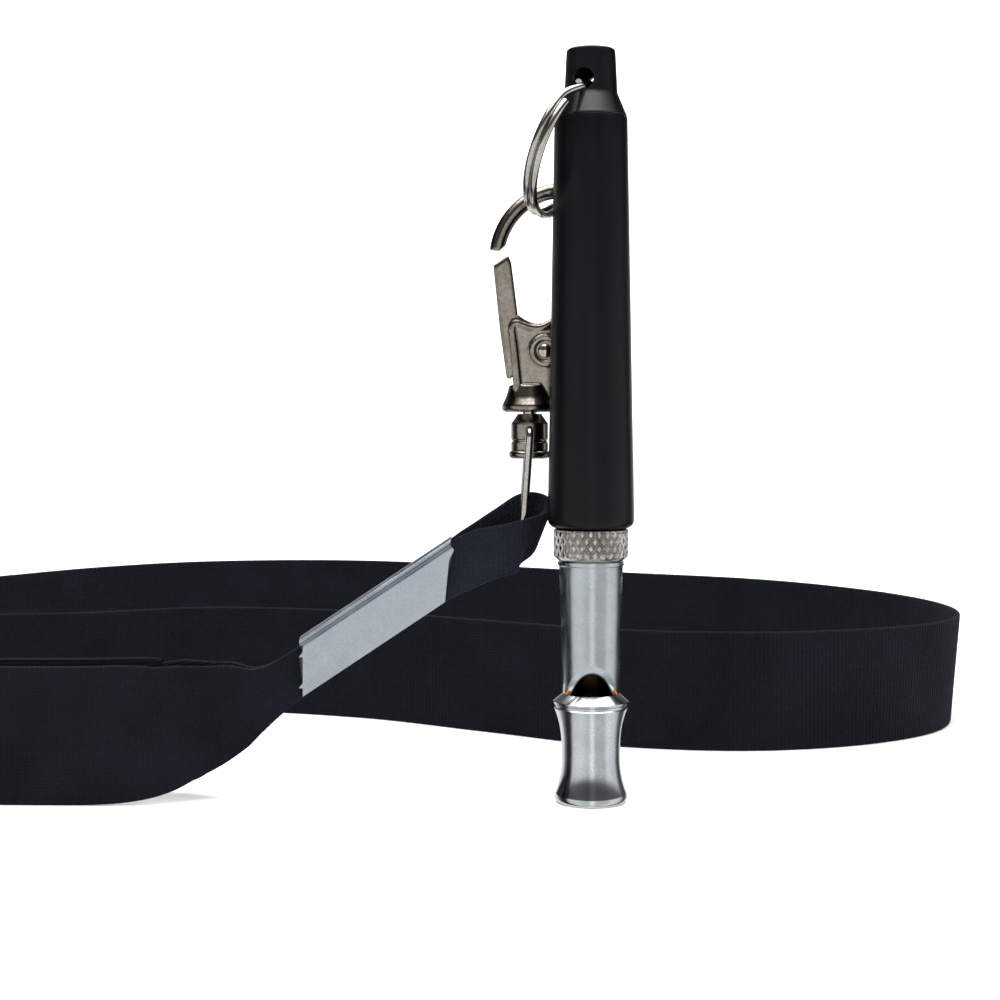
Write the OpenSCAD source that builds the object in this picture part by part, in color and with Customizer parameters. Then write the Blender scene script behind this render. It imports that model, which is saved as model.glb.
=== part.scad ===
// Adjustable silent dog whistle on a neck lanyard.
// The whistle stands on its mouth end, at the origin, with +Z up. The user's side is -Y.
// A split ring joins its hanger to a trigger snap hook, whose swivel carries a wire bail.
// The lanyard ribbon is looped through the bail and clamped by a folded crimp.

/* [Whistle] */
// Overall height of the whistle
whistle_len = 82; // [81.5:0.1:83]
// Height of the hourglass mouthpiece
mouth_len = 11.8; // [11.6:0.1:12]
// Radius of the mouthpiece's flared ends
mouth_flare_r = 4.06; // [3.9:0.01:4.2]
// Radius of the mouthpiece's waist
mouth_waist_r = 3.19; // [3:0.01:3.3]
// Radius of the tube where it leaves the mouthpiece
tube_low_r = 3.1; // [3.05:0.01:3.2]
// Radius of the tube just under its shoulder
tube_high_r = 3.48; // [3.4:0.01:3.55]
// Radius of the air bore that the piston runs in
bore_r = 2.5; // [2.45:0.01:2.55]

/* [Handle] */
// Radius of the sleeve near its lower end
sleeve_low_r = 4.72; // [4.6:0.01:4.75]
// Radius of the sleeve at its upper end
sleeve_high_r = 3.98; // [3.95:0.01:4.1]
// Height at which the sleeve ends and the hanger cap begins
sleeve_top_z = 74.5; // [74.3:0.1:74.8]
// Radius of the hole through the hanger neck
hanger_hole_r = 1.35; // [1.33:0.01:1.4]
// Height of that hole
hanger_hole_z = 78.4; // [78.3:0.1:78.5]

/* [Tuning thread] */
// Crest radius of the tube's thread
thread_r = 3.15; // [3.12:0.01:3.16]
// Thread pitch, which the tuning joint's coupling repeats
thread_pitch = 1; // [1:0.1:1]

/* [Split ring] */
// Radius of the split ring's centreline
ring_r = 7.5; // [7.45:0.01:7.55]
// Radius of its wire, which lies in two coils side by side
ring_wire_r = 0.42; // [0.4:0.01:0.43]
// Lean of the ring from the whistle's axis, in degrees
ring_lean = 23.2; // [22.8:0.1:23.6]

/* [Snap hook] */
// Radius of the hook's round bar
hook_bar_r = 0.88; // [0.85:0.01:0.9]
// Thickness of the cast housing
housing_t = 3.8; // [3.6:0.1:4]
// Thickness of the gate plate
gate_t = 1.5; // [1.4:0.1:1.6]

/* [Lanyard] */
// Width of the ribbon
ribbon_w = 15; // [14.5:0.5:15]
// Thickness of the ribbon
ribbon_t = 0.6; // [0.5:0.05:0.65]
// Thickness of the crimp's sheet
crimp_wall = 0.4; // [0.3:0.05:0.45]

/* [Hidden] */

round_fn = 96;
fine_fn = 48;
slip = 0.06;                 // radial clearance of a thread or a turning fit
flush = 0.02;                // gap between layers that only touch

// Mouthpiece: the plug fills its bore but for a windway along the front
mouth_bore_r = 2.2;
windway_y = -1.5;
mouth_waist_z = 4.9;
mouth_edge_z = 0.6;
mouth_top_flare_z = 10.25;
socket_z = 9.6;
socket_r = 2.9;

// Tube: a slanted cut opens the sound window
window_sill_z = 11.7;
window_top_z = 15.3;
window_slope = 0.558;
shoulder_z = 25.7;
shoulder_top_z = 26.2;
shoulder_r = 3.6;
thread_root_r = 2.85;
thread_top_z = 38;

// Lock nut and sleeve, which meet face to face
nut_low_z = 26.3;
nut_high_z = 29.8;
nut_r = 4.06;
sleeve_fillet = 1;
bush_low_z = 30.4;
bush_high_z = 38.4;
bush_r = 3.7;
handle_bore_r = 3.3;
spigot_low_z = 69.5;

// Rod and piston
rod_r = 1;
rod_low_z = 22;
rod_high_z = 74;
piston_low_z = 19;
piston_high_z = 24.5;
seal_z = 20.7;
seal_wire_r = 0.36;
seal_groove_r = 1.75;

// Direction of the hanger's hole, seen from above, and the split ring that hangs in it
hole_turn = 22;
ring_sag = -0.19;

// Swivel axis of the snap hook, and heights along it
hook_x = -6.6;
hook_y = 5.3;
barrel_low_z = 37.3;
barrel_high_z = 42.3;
barrel_r = 2.1;
flange_low_z = 42.5;
flange_r = 3.15;
rivet_r = 0.8;
stub_z = 40.5;

// Snap hook, in its own plane: u along +X from the swivel axis, h up
spine_u = 5.1;
bight_r = 2.4;
bight_h = 64.85;
bight_turn = 105;
sweep_r = 7.8;
sweep_end = 173;
pivot_u = 1.7;
pivot_h = 49.3;
gate_pin_r = 0.5;
slot_t = gate_t + 0.2;
slot_end = 2.95;             // the slot's closed end, and where the front wall stops
front_wall_end = 3.2;
lug_r = 1.15;

// Wire bail: a long staple whose two stubs sit in the barrel
bail_wire_r = 0.45;
bail_half = 3.3;
bail_low_z = 26.3;
bail_lean = 4;
bail_stub_in = 1.2;
bail_top_bend = 0.8;
bail_low_bend = 1.7;

// Crimp: a folded sheet on a slope, with upright ends
crimp_slope = 33.6;
crimp_from = -31.9;
crimp_to = -15.5;
crimp_from_h = 14.4;         // height of its middle at the left end
crimp_half_h = 3.36;
crimp_tooth = 0.4;
crimp_y = 1.9;
layer_t = 1;

// End loop: centre and radii of its turn round the bail's near leg
turn_x = -7.8;
turn_y = 1.65;
turn_out_r = 2.75;
turn_in_r = 1.85;
loop_tail_x = -13.8;
loop_end_x = -23.8;

// Neck ribbon: x, y, height of its middle, and its width, from the crimp round to the crimp.
// It stands on its edge, and is folded narrow where the crimp holds it.
ribbon_route = [
    [-23.8, 1.4, 19.5, 5], [-34, 1.4, 12.5, 5.2], [-39, 0.6, 10.3, 9.5], [-44, -0.8, 8.8, 12.5],
    [-52, -2, 7.6, 15], [-75, -1.5, 7.5, 15], [-115, 0, 7.5, 15], [-145, 8, 7.5, 15],
    [-165, 28, 7.5, 15], [-165, 52, 7.5, 15], [-145, 72, 7.5, 15], [-118, 84, 7.5, 15],
    [-100, 102, 7.5, 15], [-84, 125, 7.5, 15], [-66, 139, 7.5, 15], [-42, 142, 7.5, 15],
    [-20, 134, 7.5, 15], [8, 117, 7.5, 15], [33, 102, 7.5, 15], [48, 82, 7.5, 15],
    [54, 62, 7.5, 15], [51, 45, 7.5, 15], [40, 34, 7.5, 15], [23, 28.6, 7.5, 15],
    [5, 31.5, 7.5, 15], [-12, 42, 7.5, 15], [-30, 53, 7.5, 15], [-51, 58, 7.5, 15],
    [-72, 50, 7.5, 15], [-100, 50, 7.5, 15], [-130, 49, 7.5, 15], [-152, 38, 7.5, 15],
    [-152, 20, 7.5, 15], [-128, 8, 7.5, 15], [-90, 5, 7.5, 15], [-52, 4.4, 7.6, 15],
    [-44, 3.9, 8.8, 12.5], [-39, 3, 10.3, 9.5], [-34, 2.4, 12.5, 5.2], [-23.8, 2.4, 19.5, 5]];
ribbon_steps = 2;            // sections per span of the route

// ---------- curves and sweeps ----------

// Points on an arc about [x, y], from angle a to angle b in n steps
function arc(x, y, r, a, b, n) =
    [for (i = [0:n]) let (t = a + (b - a) * i / n) [x + r * cos(t), y + r * sin(t)]];

// A smooth curve through four neighbouring points, at t from 0 to 1 between the middle two
function blend4(a, b, c, d, t) =
    0.5 * (2 * b + (c - a) * t + (2 * a - 5 * b + 4 * c - d) * t * t + (3 * b - a - 3 * c + d) * t * t * t);

// The whole route as a smooth curve, with a number of steps in each span
function smooth(route, steps) = let (last = len(route) - 1) concat(
    [for (i = [0:last - 1], k = [0:steps - 1])
        blend4(route[max(i - 1, 0)], route[i], route[i + 1], route[min(i + 2, last)], k / steps)],
    [route[last]]);

function unit(v) = v / norm(v);
function xyz(p) = [p[0], p[1], p[2]];

// Direction of a curve at its i-th point
function along(pts, i) = unit(xyz(pts[min(i + 1, len(pts) - 1)]) - xyz(pts[max(i - 1, 0)]));

// Joins rings of points, all of one size, into a closed solid
module skin(rings) {
    n = len(rings[0]);
    m = len(rings);
    points = [for (ring = rings) each ring];
    sides = [for (i = [0:m - 2], k = [0:n - 1]) let (a = i * n + k, b = i * n + (k + 1) % n) each
        [[a, a + n, b + n], [a, b + n, b]]];
    caps = [[for (k = [0:n - 1]) k], [for (k = [n - 1:-1:0]) (m - 1) * n + k]];
    polyhedron(points, concat(sides, caps), convexity = 10);
}

// ---------- whistle ----------

// Half outline of the mouthpiece: both flares grow as a power of the distance from the waist
module mouthpiece_outline() {
    low = mouth_waist_z - mouth_edge_z;
    high = mouth_top_flare_z - mouth_waist_z;
    polygon(concat(
        [[0, 0], [mouth_flare_r - 0.75, 0], [mouth_flare_r - 0.3, 0.18], [mouth_flare_r - 0.08, 0.4]],
        [for (i = [0:8]) let (f = 1 - i / 8)
            [mouth_waist_r + (mouth_flare_r - mouth_waist_r) * pow(f, 2), mouth_waist_z - low * f]],
        [for (i = [1:8]) let (f = i / 8)
            [mouth_waist_r + (mouth_flare_r - mouth_waist_r) * pow(f, 2.8), mouth_waist_z + high * f]],
        [[mouth_flare_r - 0.12, mouth_top_flare_z + 0.12], [mouth_flare_r - 0.1, mouth_top_flare_z + 0.4],
         [mouth_flare_r + 0.05, mouth_top_flare_z + 0.55], [mouth_flare_r + 0.07, mouth_top_flare_z + 0.75],
         [tube_low_r, mouth_len], [0, mouth_len]]));
}

module mouthpiece() {
    color("silver") difference() {
        rotate_extrude($fn = round_fn) mouthpiece_outline();
        translate([0, 0, -1]) cylinder(h = mouth_len + 2, r = mouth_bore_r, $fn = round_fn);
        translate([0, 0, socket_z]) cylinder(h = mouth_len, r = socket_r + flush, $fn = round_fn);
    }
}

module windway_plug() {
    color("darkgoldenrod") difference() {
        cylinder(h = window_sill_z - 0.3, r = mouth_bore_r - flush, $fn = round_fn);
        translate([-5, windway_y - 5, -1]) cube([10, 5, mouth_len + 2]);
    }
}

// Ring grooves stand for the tuning thread
module thread_outline() {
    turns = floor((thread_top_z - shoulder_top_z - 1) / thread_pitch);
    base_z = shoulder_top_z + 0.5;
    polygon(concat(
        [[0, shoulder_z], [tube_high_r, shoulder_z], [shoulder_r, shoulder_z + 0.1],
         [shoulder_r, shoulder_top_z], [thread_root_r, shoulder_top_z]],
        [for (i = [0:turns - 1]) let (z = base_z + i * thread_pitch) each
            [[thread_root_r, z], [thread_r, z + 0.3], [thread_r, z + 0.5], [thread_root_r, z + 0.8]]],
        [[thread_root_r, thread_top_z], [0, thread_top_z]]));
}

module whistle_tube() {
    sill_y = window_slope * (window_top_z - window_sill_z) - tube_low_r - 0.07;
    color("silver") difference() {
        union() {
            translate([0, 0, socket_z]) cylinder(h = mouth_len - socket_z, r = socket_r, $fn = round_fn);
            translate([0, 0, mouth_len])
                cylinder(h = shoulder_z - mouth_len, r1 = tube_low_r, r2 = tube_high_r, $fn = round_fn);
            rotate_extrude($fn = round_fn) thread_outline();
        }
        translate([0, 0, socket_z - 1])
            cylinder(h = thread_top_z - socket_z + 2, r = bore_r, $fn = round_fn);
        translate([-4, 0, 0]) rotate([90, 0, 90]) linear_extrude(8)
            polygon([[sill_y, window_sill_z], [-tube_low_r - 0.07, window_top_z], [-6, window_top_z + 4],
                     [-6, window_sill_z]]);
    }
}

module lock_nut() {
    color("gray") difference() {
        rotate_extrude($fn = round_fn)
            polygon([[0, nut_low_z], [nut_r - 0.45, nut_low_z], [nut_r, nut_low_z + 0.5],
                     [nut_r, nut_high_z - 0.3], [nut_r - 0.25, nut_high_z], [0, nut_high_z]]);
        translate([0, 0, nut_low_z - 1])
            cylinder(h = nut_high_z - nut_low_z + 2, r = thread_r + slip, $fn = round_fn);
    }
}

// ---------- handle ----------

module handle_sleeve() {
    foot_z = nut_high_z + sleeve_fillet;
    color("#141518") difference() {
        rotate_extrude($fn = round_fn) polygon(concat(
            [[0, nut_high_z]],
            arc(sleeve_low_r - sleeve_fillet, foot_z, sleeve_fillet, -90, 0, 8),
            [[sleeve_high_r, sleeve_top_z], [0, sleeve_top_z]]));
        translate([0, 0, nut_high_z - 1])
            cylinder(h = bush_high_z - nut_high_z + 1, r = bush_r, $fn = round_fn);
        translate([0, 0, nut_high_z]) cylinder(h = 50, r = handle_bore_r, $fn = round_fn);
    }
}

module hanger_cap() {
    neck_low_r = 2.9;
    neck_high_r = 2.67;
    neck_low_z = 77.2;
    edge = 0.25;
    color("#0b0b0e") difference() {
        union() {
            translate([0, 0, spigot_low_z])
                cylinder(h = sleeve_top_z - spigot_low_z, r = handle_bore_r, $fn = round_fn);
            rotate_extrude($fn = round_fn) polygon(concat(
                [[0, sleeve_top_z], [sleeve_high_r - 0.1, sleeve_top_z],
                 [sleeve_high_r - 0.02, sleeve_top_z + 0.15], [neck_low_r, neck_low_z]],
                arc(neck_high_r - edge, whistle_len - edge, edge, 0, 90, 8),
                [[0, whistle_len]]));
        }
        translate([0, 0, spigot_low_z - 1])
            cylinder(h = rod_high_z - spigot_low_z + 1, r = rod_r, $fn = fine_fn);
        translate([0, 0, hanger_hole_z]) rotate([90, 0, -hole_turn])
            cylinder(h = 12, r = hanger_hole_r, center = true, $fn = fine_fn);
    }
}

module thread_bush() {
    color("goldenrod") difference() {
        translate([0, 0, bush_low_z]) cylinder(h = bush_high_z - bush_low_z, r = bush_r, $fn = round_fn);
        translate([0, 0, bush_low_z - 1])
            cylinder(h = bush_high_z - bush_low_z + 2, r = thread_r + slip, $fn = round_fn);
    }
}

module tuning_rod() {
    color("silver") translate([0, 0, rod_low_z])
        cylinder(h = rod_high_z - rod_low_z, r = rod_r, $fn = fine_fn);
}

module piston() {
    color("goldenrod") difference() {
        translate([0, 0, piston_low_z])
            cylinder(h = piston_high_z - piston_low_z, r = bore_r - 0.05, $fn = round_fn);
        translate([0, 0, seal_z]) difference() {
            cylinder(h = 2 * seal_wire_r + 0.1, r = bore_r + 1, center = true, $fn = round_fn);
            cylinder(h = 2, r = seal_groove_r, center = true, $fn = round_fn);
        }
        translate([0, 0, rod_low_z]) cylinder(h = 10, r = rod_r, $fn = fine_fn);
    }
}

module piston_seal() {
    color("#222222") translate([0, 0, seal_z]) rotate_extrude($fn = round_fn)
        translate([seal_groove_r + seal_wire_r + 0.01, 0]) circle(r = seal_wire_r, $fn = 24);
}

// ---------- split ring ----------

// Two coils of wire side by side, as one ring of revolution
module split_ring() {
    color("silver") translate([0, 0, hanger_hole_z]) rotate([0, 0, -hole_turn]) rotate([0, ring_lean, 0])
        translate([0, 0, ring_sag - ring_r]) rotate([0, 90, 0]) rotate_extrude($fn = round_fn)
            for (side = [-1, 1]) translate([ring_r, side * (ring_wire_r - 0.01)])
                circle(r = ring_wire_r, $fn = 24);
}

// ---------- snap hook ----------

module at_hook() { translate([hook_x, hook_y, 0]) children(); }

// Part of a round ring in the hook's plane, between two angles
module arc_bar(path_r, bar_r, a, b) {
    rotate([90, 0, 0]) rotate([0, 0, a]) rotate_extrude(angle = b - a, $fn = round_fn)
        translate([path_r, 0]) circle(r = bar_r, $fn = 32);
}

// A flat plate of the hook, from an outline in its plane
module plate(t) { translate([0, t / 2, 0]) rotate([90, 0, 0]) linear_extrude(t) children(); }

module hook_arm() {
    start_u = spine_u - bight_r;
    turn_u = start_u + bight_r * cos(bight_turn);
    turn_h = bight_h + bight_r * sin(bight_turn);
    translate([spine_u, 0, 52]) cylinder(h = bight_h - 52, r = hook_bar_r, $fn = 32);
    translate([start_u, 0, bight_h]) arc_bar(bight_r, hook_bar_r, 0, bight_turn);
    translate([turn_u - sweep_r * cos(bight_turn), 0, turn_h - sweep_r * sin(bight_turn)])
        arc_bar(sweep_r, hook_bar_r - flush, bight_turn - 3, sweep_end);
}

module hook_body() {
    color("gray") at_hook() difference() {
        union() {
            difference() {
                hook_arm();
                translate([-3.9, 0, 60.1]) rotate([0, -42, 0]) translate([-3, -3, -6]) cube([9, 6, 6]);
            }
            difference() {
                plate(housing_t) difference() {
                    polygon([[-1.7, 44], [-2, 47.2], [-2.4, 51.7], [-2, 53], [-1.3, 53.3], [4.2, 53.6],
                             [5.8, 53.4], [5.7, 50], [2.6, 44]]);
                    translate([1.3, 56.1]) circle(r = 3.8, $fn = 64);
                }
                translate([front_wall_end, -housing_t, 43]) cube([5, housing_t - 0.7, 12]);
            }
            rotate_extrude($fn = round_fn)
                polygon([[0, flange_low_z], [flange_r - 0.3, flange_low_z], [flange_r, flange_low_z + 0.3],
                         [flange_r, flange_low_z + 0.7], [2.7, flange_low_z + 1.6], [2.3, flange_low_z + 3],
                         [0, flange_low_z + 3]]);
            translate([pivot_u, 0.5 - housing_t / 2, pivot_h]) rotate([90, 0, 0])
                cylinder(h = 0.8, r = 1.75, $fn = fine_fn);
        }
        plate(slot_t) polygon([[-8, 45.9], [1.6, 45.9], [slot_end, 47.4], [slot_end, 56], [-8, 56]]);
        translate([pivot_u, 0, pivot_h]) rotate([90, 0, 0])
            cylinder(h = 8, r = gate_pin_r, center = true, $fn = fine_fn);
        translate([pivot_u, flush - housing_t / 2, pivot_h]) rotate([90, 0, 0])
            cylinder(h = 1, r = 1.2, $fn = fine_fn);
        translate([0, 0, flange_low_z - 1]) cylinder(h = 3.6, r = rivet_r, $fn = fine_fn);
    }
}

// The gate is a flat bar with a lug that turns on the pin
module hook_gate() {
    color("silver") at_hook() difference() {
        union() {
            plate(gate_t) polygon([[-4.1, 58.9], [-2.4, 60.05], [-2.05, 59.2], [-1.3, 53.2], [0.3, 50.5],
                                   [1.3, 50.2], [1.3, 48.4], [0.5, 48.3], [-0.9, 47], [-2.3, 46.2],
                                   [-2.6, 46.3], [-2.85, 48.1], [-3.35, 51.7]]);
            translate([pivot_u, 0, pivot_h]) rotate([90, 0, 0])
                cylinder(h = gate_t, r = lug_r, center = true, $fn = fine_fn);
        }
        translate([pivot_u, 0, pivot_h]) rotate([90, 0, 0])
            cylinder(h = 8, r = gate_pin_r + 0.04, center = true, $fn = fine_fn);
    }
}

module gate_pin() {
    color("silver") at_hook() translate([pivot_u, 0, pivot_h]) rotate([90, 0, 0]) {
        cylinder(h = housing_t, r = gate_pin_r, center = true, $fn = fine_fn);
        translate([0, 0, housing_t / 2]) cylinder(h = 0.25, r = 0.85, $fn = fine_fn);
    }
}

// A small coil between the housing's end wall and the gate
module gate_spring() {
    wire_r = 0.11;
    coil_r = 0.5;
    turns = 5;
    from_u = 0.62;
    to_u = 2.8;
    color("silver") at_hook() translate([0, 0, 51.9]) skin(
        [for (i = [0:turns * 10]) let (a = i * 36, u = from_u + (to_u - from_u) * i / (turns * 10))
            [for (k = [7:-1:0]) let (b = k * 45, r = coil_r + wire_r * cos(b))
                [u + wire_r * sin(b), r * cos(a), r * sin(a)]]]);
}

module swivel_rivet() {
    color("silver") at_hook() {
        translate([0, 0, barrel_low_z + 1])
            cylinder(h = flange_low_z + 1.6 - barrel_low_z, r = rivet_r, $fn = fine_fn);
        translate([0, 0, barrel_low_z + 0.5]) cylinder(h = 0.9, r = 1.4, $fn = fine_fn);
    }
}

// A banded barrel, with a pit front and back for the bail's stubs
module swivel_barrel() {
    color("silver") at_hook() difference() {
        rotate_extrude($fn = round_fn)
            polygon([[0, barrel_low_z], [barrel_r, barrel_low_z], [barrel_r + 0.2, barrel_low_z + 0.25],
                     [barrel_r + 0.2, barrel_low_z + 0.8], [barrel_r, barrel_low_z + 1.1],
                     [barrel_r, barrel_low_z + 1.7], [barrel_r - 0.15, barrel_low_z + 1.85],
                     [barrel_r - 0.15, barrel_low_z + 2.1], [barrel_r, barrel_low_z + 2.25],
                     [barrel_r, barrel_high_z - 1], [1.3, barrel_high_z], [0, barrel_high_z]]);
        translate([0, 0, barrel_low_z - 1]) cylinder(h = 10, r = rivet_r + 0.05, $fn = fine_fn);
        translate([0, 0, barrel_low_z - 1]) cylinder(h = 2.45, r = 1.5, $fn = fine_fn);
        for (side = [-1, 1]) translate([0, side * (bail_stub_in - 0.05), stub_z]) rotate([-side * 90, 0, 0])
            cylinder(h = 5, r = bail_wire_r + 0.05, $fn = fine_fn);
    }
}

// ---------- wire bail ----------

// One quarter bend in the bail's plane: y runs across it, z up
module bail_bend(y, z, r, a) {
    translate([0, y, z]) rotate([90, 0, 90]) rotate([0, 0, a]) rotate_extrude(angle = 90, $fn = round_fn)
        translate([r, 0]) circle(r = bail_wire_r, $fn = 24);
}

module wire_bail() {
    leg_low = bail_low_z + bail_low_bend;
    leg_high = stub_z - bail_top_bend;
    stub_out = bail_half - bail_top_bend;
    color("silver") translate([hook_x, hook_y, stub_z]) rotate([0, bail_lean, 0]) translate([0, 0, -stub_z]) {
        for (side = [-1, 1]) {
            translate([0, side * bail_stub_in, stub_z]) rotate([-side * 90, 0, 0])
                cylinder(h = stub_out - bail_stub_in, r = bail_wire_r, $fn = 24);
            translate([0, side * bail_half, leg_low])
                cylinder(h = leg_high - leg_low, r = bail_wire_r, $fn = 24);
        }
        bail_bend(-stub_out, leg_high, bail_top_bend, 90);
        bail_bend(stub_out, leg_high, bail_top_bend, 0);
        bail_bend(bail_low_bend - bail_half, leg_low, bail_low_bend, 180);
        bail_bend(bail_half - bail_low_bend, leg_low, bail_low_bend, 270);
        translate([0, 0, bail_low_z]) rotate([90, 0, 0])
            cylinder(h = 2 * (bail_half - bail_low_bend), r = bail_wire_r, center = true, $fn = 24);
    }
}

// ---------- lanyard ----------

// Height of a line along the crimp's slope, some way above its middle
function on_slope(x, above) = [x, crimp_from_h + above + tan(crimp_slope) * (x - crimp_from)];

// A sheet folded over the ribbon, open along its lower edge, with teeth at its left end
module crimp() {
    half_t = layer_t + crimp_wall;
    edge = crimp_from + crimp_tooth;
    color("silver") translate([0, crimp_y, 0]) difference() {
        plate(2 * half_t) polygon(concat(
            [on_slope(crimp_to, -crimp_half_h), on_slope(crimp_to, crimp_half_h),
             on_slope(crimp_from, crimp_half_h), on_slope(crimp_from, 2.4), on_slope(edge, 1.9)],
            [for (tooth = [1.1, -2.3]) each [on_slope(edge, tooth + 0.3), on_slope(crimp_from, tooth),
                                             on_slope(edge, tooth - 0.3)]],
            [on_slope(edge, -crimp_half_h)]));
        plate(2 * layer_t) polygon([on_slope(crimp_from - 1, -crimp_half_h - 1),
                                    on_slope(crimp_to + 1, -crimp_half_h - 1),
                                    on_slope(crimp_to + 1, crimp_half_h - 0.6),
                                    on_slope(crimp_from - 1, crimp_half_h - 0.6)]);
    }
}

// The folded ribbon's turn round the bail: a band seen from above, trimmed to its slope
module end_loop() {
    mid = crimp_y;
    out = layer_t - flush;
    color("#171b23") intersection() {
        translate([0, 0, 10]) linear_extrude(30) difference() {
            polygon(concat([[loop_end_x, mid - out], [loop_tail_x, mid - out]],
                           arc(turn_x, turn_y, turn_out_r, -100, 100, 24),
                           [[loop_tail_x, mid + out], [loop_end_x, mid + out]]));
            polygon(concat([[loop_end_x - 1, mid - flush], [loop_tail_x, mid - flush]],
                           arc(turn_x, turn_y, turn_in_r, -100, 100, 24),
                           [[loop_tail_x, mid + flush], [loop_end_x - 1, mid + flush]]));
        }
        translate([0, 20, 0]) rotate([90, 0, 0]) linear_extrude(40)
            polygon([[-22.2, 17.6], [-16.4, 21.5], [-8.2, 27.3], [-4.9, 31], [-4.9, 33],
                     [-7.4, 33.5], [-15.6, 27.9], [-25.3, 21.3]]);
    }
}

// The ribbon's section at one point of its smooth route: a thin octagon standing on its edge
function ribbon_ring(pts, i) = let (
    t = along(pts, i),
    up = unit([0, 0, 1] - t[2] * t),
    side = cross(t, up),
    half_w = min(pts[i][3], ribbon_w) / 2,
    half_t = ribbon_t / 2 * (1 + (ribbon_w - 2 * half_w) / 18),
    mid = [pts[i][0], pts[i][1], max(pts[i][2], half_w * up[2])],
    shape = [[-1, -0.5], [-0.85, -1], [0.85, -1], [1, -0.5], [1, 0.5], [0.85, 1], [-0.85, 1], [-1, 0.5]])
    [for (s = shape) mid + up * half_w * s[0] + side * half_t * s[1]];

module neck_ribbon() {
    pts = smooth(ribbon_route, ribbon_steps);
    color("#171b23") skin([for (i = [0:len(pts) - 1]) ribbon_ring(pts, i)]);
}

mouthpiece();
windway_plug();
whistle_tube();
lock_nut();
handle_sleeve();
hanger_cap();
thread_bush();
tuning_rod();
piston();
piston_seal();
split_ring();
hook_body();
hook_gate();
gate_pin();
gate_spring();
swivel_rivet();
swivel_barrel();
wire_bail();
crimp();
end_loop();
neck_ribbon();
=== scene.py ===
# %% [markdown]
# # A silent dog whistle on its neck ribbon
# The real object is a small turned metal whistle with a black plastic handle. A split ring joins it to
# a cast snap hook, and a wire bail on the hook's swivel carries a woven neck ribbon.
# Each visible piece is built here as a surface worked out with numpy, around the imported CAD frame.
# The frame keeps every joint and size; this file gives it shape at close range, and its finishes.

# %% Load the frame and note its box
import math

import bmesh
import bpy
import numpy as np
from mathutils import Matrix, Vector


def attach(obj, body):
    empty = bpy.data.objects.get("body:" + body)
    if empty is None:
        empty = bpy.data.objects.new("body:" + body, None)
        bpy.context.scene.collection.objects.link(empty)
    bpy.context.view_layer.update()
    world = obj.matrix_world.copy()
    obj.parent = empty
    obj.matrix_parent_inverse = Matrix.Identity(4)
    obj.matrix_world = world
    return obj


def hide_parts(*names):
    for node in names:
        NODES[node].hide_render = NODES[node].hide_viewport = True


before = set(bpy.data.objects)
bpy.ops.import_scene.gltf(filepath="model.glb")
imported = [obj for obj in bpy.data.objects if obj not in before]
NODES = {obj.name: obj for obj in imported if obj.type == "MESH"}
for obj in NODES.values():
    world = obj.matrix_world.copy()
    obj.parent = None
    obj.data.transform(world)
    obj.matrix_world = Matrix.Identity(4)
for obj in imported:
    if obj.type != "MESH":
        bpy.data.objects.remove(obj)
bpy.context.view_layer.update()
MM = 0.001

# %% [markdown]
# ## Camera
# The whistle stands 186 mm from the lens, which is at half its height and a little to its left.
# The lens looks level, so upright edges stay upright, and a small downward shift frames the subject.

# %% Camera
LENS_MM = 61.2
SENSOR_MM = 36
CAMERA_AT = (-9.93, -185.6, 41.1)
camera_data = bpy.data.cameras.new("camera")
camera_data.lens = LENS_MM
camera_data.sensor_width = SENSOR_MM
camera_data.shift_y = -0.0755
camera_data.clip_start = 0.005
camera_data.clip_end = 20
camera = bpy.data.objects.new("camera", camera_data)
camera.location = [c * MM for c in CAMERA_AT]
camera.rotation_euler = (math.pi / 2, 0, 0)
bpy.context.scene.collection.objects.link(camera)
bpy.context.scene.camera = camera
bpy.context.scene.view_settings.view_transform = "Standard"
print("camera at", CAMERA_AT, "mm with a", LENS_MM, "mm lens")

# %% [markdown]
# ## From arrays to meshes
# A surface is a grid of points, one row per step along it and one column per step across it.
# Whole arrays are worked out at once, and one function turns any grid into a closed mesh.
# Its sign of volume says whether the faces point outwards, so they can be turned if they don't.

# %% Grid to mesh
def volume_of(points, quads):
    """Six times the volume inside: the sum over faces, cut in triangles, of a . (b x c)."""
    a, b, c, d = (points[quads[:, k]] for k in range(4))
    return float(np.sum(a * np.cross(b, c)) + np.sum(a * np.cross(c, d)))


def grid_mesh(name, grid, wrap_rows=False, wrap_columns=True, flat=None):
    """A closed mesh from a grid of points in mm. Rows join to the next row, and to the first if they wrap.
    An open end is closed by a fan of its own ring. flat holds a pattern coordinate in mm for each point."""
    rows, columns = grid.shape[:2]
    number = np.arange(rows * columns).reshape(rows, columns)
    if wrap_rows:
        number = np.vstack([number, number[:1]])
    if wrap_columns:
        number = np.hstack([number, number[:, :1]])
    quads = np.stack([number[:-1, :-1], number[1:, :-1], number[1:, 1:], number[:-1, 1:]], -1).reshape(-1, 4)
    points = grid.reshape(-1, 3)
    faces = quads.tolist()
    if not wrap_rows:
        faces += [number[0, :columns].tolist(), number[-1, :columns][::-1].tolist()]
    if volume_of(points, quads) < 0:
        faces = [face[::-1] for face in faces]
    mesh = bpy.data.meshes.new(name)
    mesh.from_pydata((points * MM).tolist(), [], faces)
    if flat is not None:
        layer = mesh.attributes.new("flat", "FLOAT_VECTOR", "POINT")
        layer.data.foreach_set("vector", (flat.reshape(-1, 3) * MM).ravel())
    mesh.shade_smooth()
    return mesh


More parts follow.
